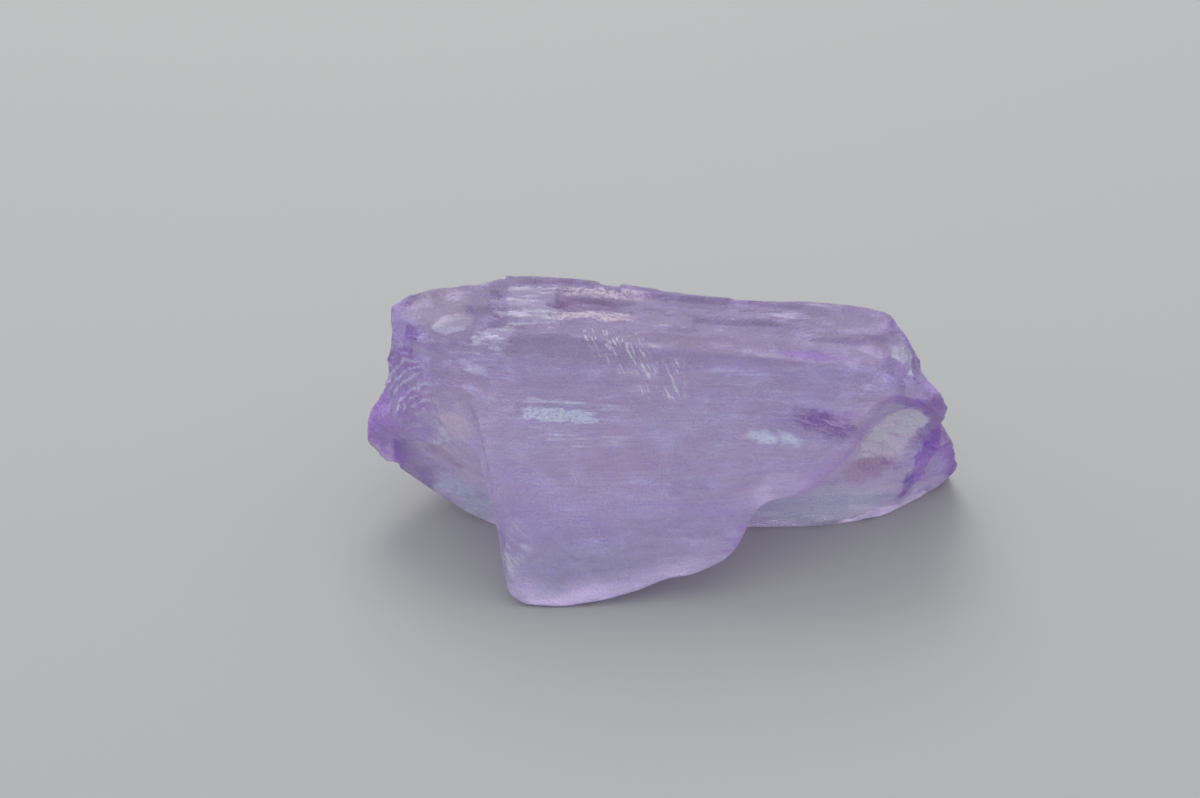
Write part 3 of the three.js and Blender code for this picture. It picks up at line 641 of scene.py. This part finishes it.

# Stains, veils, clear places and painted light: the mask, its colour, how strongly it colours, and how much
# milk it adds.
stains = [
    # Both ends, the foot and the edge of the leaning blade.
    (off_middle.step(14.5, 19.0), VIOLET, 0.6, 0.0),
    (z.step(7.0, 1.0) * y.step(7.0, 4.5), BLUISH, 0.7, 0.1),
    (lip_edge, VIOLET, 0.9, 0.1),
    (blot((4.9, 2.2, 3.6), (1.9, 1.6, 0.55), 62, 0.5), VIOLET, 0.75, 0.0),
    (blot((3.2, 8.6, 14.8), (5.4, 0.9, 0.8), -4, 0.4), PLUM, 0.4, -0.1),
    # The splintered left end, and the chips down the foot's left edge.
    (blot((-16.8, 11.6, 14.0), (1.1, 1.3, 1.0), 0, 0.4, nicked), LILAC, 0.6, 0.25),
    (blot((-16.6, 10.0, 12.3), (1.6, 1.4, 0.8), 15, 0.35), DEEP, 0.85, -0.1),
    (blot((-15.9, 10.8, 13.9), (0.9, 0.9, 0.5), -20, 0.2, nicked), DEEP, 0.7, -0.1),
    (blot((-18.4, 10.4, 6.6), (1.8, 2.2, 2.4), 0, 0.4), VIOLET, 0.7, 0.15),
    (blot((-17.9, 11.2, 4.4), (1.4, 1.6, 1.2), 0, 0.3, nicked), DEEP, 0.8, 0.1),
    (off_middle.step(18.3, 19.0), VIOLET, 0.7, 0.0),
    # Painted light and shade on the left end's shell break: violet shade between its ripples, and pale ice
    # glints along their crests, over a little milk.
    (blot((-16.0, 9.6, 10.6), (2.4, 2.0, 2.4), 30, 0.4), VIOLET, 0.5, 0.0),
    (blot((-16.2, 9.7, 10.7), (2.5, 2.4, 2.3), 40, 0.3) * ripple_glints, ICE, 0.75, 0.35),
    (blot((-14.2, 8.9, 5.7), (1.5, 1.4, 0.75), -38, 0.35), PLUM, 0.65, 0.05),
    (blot((-12.9, 6.9, 9.6), (1.5, 1.4, 0.9), -8, 0.3, nicked), CREAM, 0.5, 0.15),
    (blot((-13.2, 7.6, 8.0), (0.6, 1.4, 1.6), 20) * lined, ICE, 0.6, 0.3),
    (blot((-13.6, 8.2, 8.2), (1.6, 1.6, 2.2)) * lines((1.6, 0.5, 0.16), -72, 0.56, 0.61), WHITE, 0.7, 0.3),
    # Painted highlights: thin white lines on the chips down the foot's left edge.
    (blot((-9.5, 1.7, 3.6), (0.9, 1.2, 2.0), -12, 0.3, nicked) * lines((1.2, 0.5, 0.2), -50, 0.54, 0.60),
     WHITE, 0.6, 0.2),
    # Painted light: the left ledge lies in the blade's shade, and its pale ice colour stands in for light
    # that comes through the stone; its milk and fine lines are the stone's own.
    (blot((-12.6, 9.2, 1.9), (2.8, 1.6, 1.3), -25) * mostly_lined, ICE, 0.95, 0.7),
    (blot((-18.9, 11.0, 5.3), (1.0, 1.4, 1.3), 0, 0.3, nicked), DEEP, 0.6, -0.1),
    # The dark bruise at the blade's right, and the two pale flakes beside it.
    (blot((9.6, 5.3, 10.45), (3.2, 1.0, 0.95), -8, 0.5, nicked), INK, 0.45, 0.15),
    (blot((10.3, 5.5, 10.6), (2.2, 1.0, 0.7), -16, 0.4, nicked), INK, 0.9, 0.25),
    (blot((10.4, 5.4, 10.5), (2.6, 1.0, 0.9), -8, 0.3, nicked) * lines((1.8, 0.5, 0.2), -14, 0.54, 0.58),
     ROSE, 0.55, 0.1),
    (blot((6.1, 5.0, 9.95), (0.9, 0.9, 0.42), -10, 0.4, nicked), ICE, 0.85, 0.45),
    (blot((8.0, 5.1, 9.75), (0.8, 0.9, 0.35), -20, 0.4, nicked), ICE, 0.8, 0.4),
    # The clear shell break at the right, the fin and the lobe past it, and the ledge below.
    (clear_break, PEARL, 0.95, 0.6),
    (clear_break * ribs, PLUM, 0.3, 0.0),
    # Painted glints: white on some chipped facets of the clear break.
    (clear_break * chip_light_and_shade.step(0.58, 0.62), WHITE, 0.7, 0.2),
    (blot((13.2, 9.0, 4.5), (1.9, 1.2, 0.8), 12, 0.2, nicked), PLUM, 0.75, 0.1),
    (blot((17.3, 9.2, 4.9), (4.4, 1.5, 0.85), 66, 0.2, nicked), DEEP, 0.85, 0.35),
    (blot((18.7, 11.4, 3.2), (0.9, 1.6, 1.7)), LILAC, 0.7, 0.2),
    (x.step(18.5, 19.3), DEEP, 0.75, 0.0),
    # Painted light: the ledge below lies in the blade's shade, and its pale ice colour stands in for light
    # that comes through the stone; its milk and fine lines are the stone's own.
    (blot((10.6, 8.6, 1.7), (4.8, 1.4, 1.5), 3, 0.2) * mostly_lined, ICE, 0.9, 0.55),
    # The pale facets at the top left, the marks at the top right corner, and painted glints on its chipped
    # facets.
    (blot((-14.2, 12.0, 15.1), (2.0, 1.7, 1.2), 0, 0.12, nicked), CREAM, 0.4, 0.05),
    (blot((-13.4, 10.4, 14.9), (1.3, 0.75, 1.2), 0, 0.1, nicked), WHITE, 0.4, 0.15),
    (blot((9.2, 8.2, 14.0), (1.9, 0.45, 0.6), -6, 0.3, nicked), DEEP, 0.8, 0.0),
    (blot((13.3, 9.4, 13.3), (1.1, 1.1, 0.9), 0, 0.4, nicked), ROSE, 0.5, 0.0),
    # Painted glints on the chipped facets of the top right corner.
    (blot((15.6, 9.8, 12.5), (1.1, 1.3, 0.9), -20, 0.15, nicked) * chip_light_and_shade.step(0.35, 0.45),
     WHITE, 0.55, 0.2),
    # The pale bar and the streaks on the blade.
    (block((-6.6, 5.5, 11.15), (2.3, 1.2, 0.34), -3, 0.1) * (0.5 + 0.5 * grit.step(0.40, 0.55)),
     ICE, 0.95, 0.6),
    (blot((-5.2, 4.9, 9.9), (3.4, 1.2, 0.7), -4) * lines((2.6, 0.5, 0.14), -3, 0.62, 0.66), WHITE, 0.5, 0.2),
    (block((-5.9, 5.5, 11.75), (3.0, 1.2, 0.16), -3, 0.2) * lined, ICE, 0.7, 0.3),
    (block((-12.0, 7.6, 13.3), (0.7, 1.2, 0.25), 0, 0.2), ICE, 0.5, 0.3),
    # The broken terraces on top, milky white with a painted reflection of the sky on them, and the scratches
    # over its front edge.
    (block((-10.8, 8.8, 14.6), (1.25, 0.6, 0.9), 0, 0.08) * (0.5 + 0.5 * lined), WHITE, 0.5, 0.25),
    (block((-8.4, 11.3, 15.5), (1.5, 1.8, 0.9), 0, 0.08) * (0.55 + 0.45 * lined), WHITE, 0.6, 0.25),
    (block((-4.9, 11.6, 15.4), (2.3, 0.6, 0.8), 0, 0.2), PLUM, 0.55, -0.1),
    (block((-4.5, 10.3, 15.4), (2.4, 0.35, 0.8), 0, 0.3) * grit.step(0.4, 0.5), CREAM, 0.85, 0.35),
    (block((-3.9, 12.9, 15.4), (2.9, 0.4, 0.8), 0, 0.3) * grit.step(0.4, 0.5), CREAM, 0.8, 0.3),
    (blot((-2.9, 7.7, 14.9), (2.6, 1.7, 1.6), -35) * lines((1.6, 0.5, 0.11), -58, 0.57, 0.61),
     WHITE, 0.8, 0.3),
    (blot((0.0, 6.9, 13.0), (1.3, 1.2, 1.7), -60) * lines((2.4, 0.5, 0.12), -64, 0.59, 0.63),
     WHITE, 0.8, 0.35),
]

colour = mix(LILAC, ROSE, clouds.step(0.44, 0.60) * 0.8)
colour = mix(colour, BLUISH, mottle.step(0.48, 0.68) * 0.5 + silk.step(0.50, 0.72) * (0.12 + 0.2 * top))
colour = mix(colour, VIOLET, mottle.step(0.50, 0.30) * 0.28 + silk.step(0.45, 0.28) * 0.12)
colour = mix(colour, DUSK, top * 0.9)
colour = mix(colour, PLUM, top * silk.step(0.52, 0.40) * 0.3)
colour = mix(colour, WHITE, lined * (0.10 + veils * (0.14 + 0.2 * top)))
colour = mix(colour, DUSK, hairs.step(0.47, 0.41) * 0.25)
colour = mix(colour, VIOLET, lath_shade.step(0.75, 0.1) * 0.14)
# Painted light and shade on the broken ends: some chipped facets darker, some paler, as if each caught the
# light its own way.
colour = mix(colour, DEEP, chip_light_and_shade.step(0.45, 0.25) * breaks * 0.5)
colour = mix(colour, ICE, chip_light_and_shade.step(0.70, 0.80) * breaks * 0.5)
colour = mix(colour, VIOLET, on_ridge * (0.25 + 0.5 * breaks))
colour = mix(colour, DEEP, on_ridge * breaks * 0.5)
milk = 0.32 + silk.step(0.35, 0.75) * 0.1 + veils * 0.2 + mottle.step(0.45, 0.7) * 0.25 - top * 0.1
for mask, tint, strength, added in stains:
    colour = mix(colour, tint, mask * strength)
    if added:
        milk = milk + mask * added
milk = where.math("ADD", milk, 0.0, clamp=True)
# Paler and darker specks: random grit in the stone's grain, and painted light and shade on the frosted
# relief, paler where the speckle stands high and darker where it lies low.
colour = mix(colour, WHITE, speckle.step(0.56, 0.72) * 0.30 + grit.step(0.52, 0.66) * 0.18)
colour = mix(colour, DUSK, speckle.step(0.44, 0.28) * 0.30 + grit.step(0.48, 0.34) * 0.18)


def faceted(normal, cell, amount):
    """A normal tilted by up to half of amount, one way on each cell, so the cells look like flat facets."""
    tilt = vector_math("SUBTRACT", cell, (0.5, 0.5, 0.5))
    tilt = where.node("ShaderNodeVectorMath", {"operation": "SCALE"}, {0: tilt, "Scale": amount})
    return vector_math("ADD", normal, tilt)


facets = faceted(where.node("ShaderNodeNewGeometry", {}, {}, "Normal"), lath_cells, 0.22)
facets = vector_math("NORMALIZE", faceted(facets, chip_cells, breaks * 0.9))
bumped = where.node("ShaderNodeBump", {}, {
    "Strength": 0.7, "Distance": 0.3 * MM, "Height": silk * 0.3 + hairs * 0.2 + speckle * 0.55,
    "Normal": facets})

KUNZITE_IOR = 1.66
frost = 0.28 + speckle * 0.14 + top * 0.2 - clear_break * 0.10
clear = where.node("ShaderNodeBsdfPrincipled", {}, {
    "Base Color": mix((0.95, 0.92, 0.99, 1.0), colour, 0.45), "Roughness": frost, "IOR": KUNZITE_IOR,
    "Transmission Weight": 0.95, "Normal": bumped})
milky = where.node("ShaderNodeBsdfPrincipled", {}, {
    "Base Color": colour, "Roughness": frost + 0.1, "IOR": KUNZITE_IOR, "Subsurface Weight": 0.5,
    "Subsurface Radius": (2.6 * MM, 2.0 * MM, 3.6 * MM), "Subsurface Scale": 1.0, "Normal": bumped})
outside = where.node("ShaderNodeMixShader", {}, {0: milk, 1: clear, 2: milky})
inside = where.node("ShaderNodeBsdfPrincipled", {}, {    # the same skin, met by light from inside the stone
    "Base Color": (0.93, 0.89, 0.98, 1.0), "Roughness": 0.3, "IOR": KUNZITE_IOR, "Transmission Weight": 0.95})
behind = where.node("ShaderNodeNewGeometry", {}, {}, "Backfacing")
stone = where.node("ShaderNodeMixShader", {}, {0: behind, 1: outside, 2: inside})
lilac_body = where.node("ShaderNodeVolumeAbsorption", {}, {
    "Color": (0.66, 0.34, 0.82, 1.0), "Density": 38.0})
output = tree.nodes.new("ShaderNodeOutputMaterial")
tree.links.new(stone.socket, output.inputs["Surface"])
tree.links.new(lilac_body.socket, output.inputs["Volume"])
crystal.data.materials.append(material)


# The floor: one plain pale sheet, larger than the view, at the height the crystal rests on.
FLOOR_HALF = 0.6
floor_mesh = bpy.data.meshes.new("floor")
floor_mesh.from_pydata([(-FLOOR_HALF, -FLOOR_HALF, 0), (FLOOR_HALF, -FLOOR_HALF, 0),
                        (FLOOR_HALF, FLOOR_HALF, 0), (-FLOOR_HALF, FLOOR_HALF, 0)], [], [(0, 1, 2, 3)])
floor = bpy.data.objects.new("floor", floor_mesh)
bpy.context.scene.collection.objects.link(floor)
floor_finish = bpy.data.materials.new("floor")
floor_finish.use_nodes = True
floor_shader = floor_finish.node_tree.nodes["Principled BSDF"]
floor_shader.inputs["Base Color"].default_value = (0.45, 0.45, 0.44, 1.0)
floor_shader.inputs["Roughness"].default_value = 0.8
floor_mesh.materials.append(floor_finish)


# The light: an even pale sky, with one broad soft window behind and to the left.
world = bpy.data.worlds.new("sky")
bpy.context.scene.world = world
world.use_nodes = True
sky = world.node_tree.nodes["Background"]
sky.inputs["Color"].default_value = (0.89, 0.93, 0.97, 1.0)
direction = Shade(world.node_tree, world.node_tree.nodes.new("ShaderNodeTexCoord").outputs["Generated"])
towards = direction.node("ShaderNodeVectorMath", {"operation": "DOT_PRODUCT"},
                         {0: direction, 1: (-0.25, 0.50, 0.83)}, "Value")
brightness = 0.68 + 0.30 * towards.step(-0.1, 1.0)
world.node_tree.links.new(brightness.socket, sky.inputs["Strength"])


def aimed(thing, at):
    """Turns a light or camera so that it looks at a point."""
    thing.rotation_euler = (Vector(at) - thing.location).to_track_quat("-Z", "Y").to_euler()


lamp = bpy.data.lights.new("window", "AREA")
lamp.size, lamp.energy, lamp.color = 0.18, 0.36, (1.0, 0.98, 0.96)
window = bpy.data.objects.new("window", lamp)
bpy.context.scene.collection.objects.link(window)
window.location = (-0.04, 0.22, 0.25)
aimed(window, (0, 0, 0.006))

# The camera looks down on the crystal's front at 35 degrees, as the photograph does.
CAMERA_ELEVATION = math.radians(35)
CAMERA_DISTANCE = 191.6 * MM
VIEW_CENTRE = Vector(drawing_origin + np.array([-4.05, 8.3, 10.5]) * MM)
camera_data = bpy.data.cameras.new("camera")
camera_data.lens = 90
camera_data.sensor_width = 36
camera_data.clip_start = 0.01
camera = bpy.data.objects.new("camera", camera_data)
bpy.context.scene.collection.objects.link(camera)
camera.location = VIEW_CENTRE + CAMERA_DISTANCE * Vector(
    (0, -math.cos(CAMERA_ELEVATION), math.sin(CAMERA_ELEVATION)))
aimed(camera, VIEW_CENTRE)
bpy.context.scene.camera = camera
bpy.context.scene.view_settings.view_transform = "Standard"
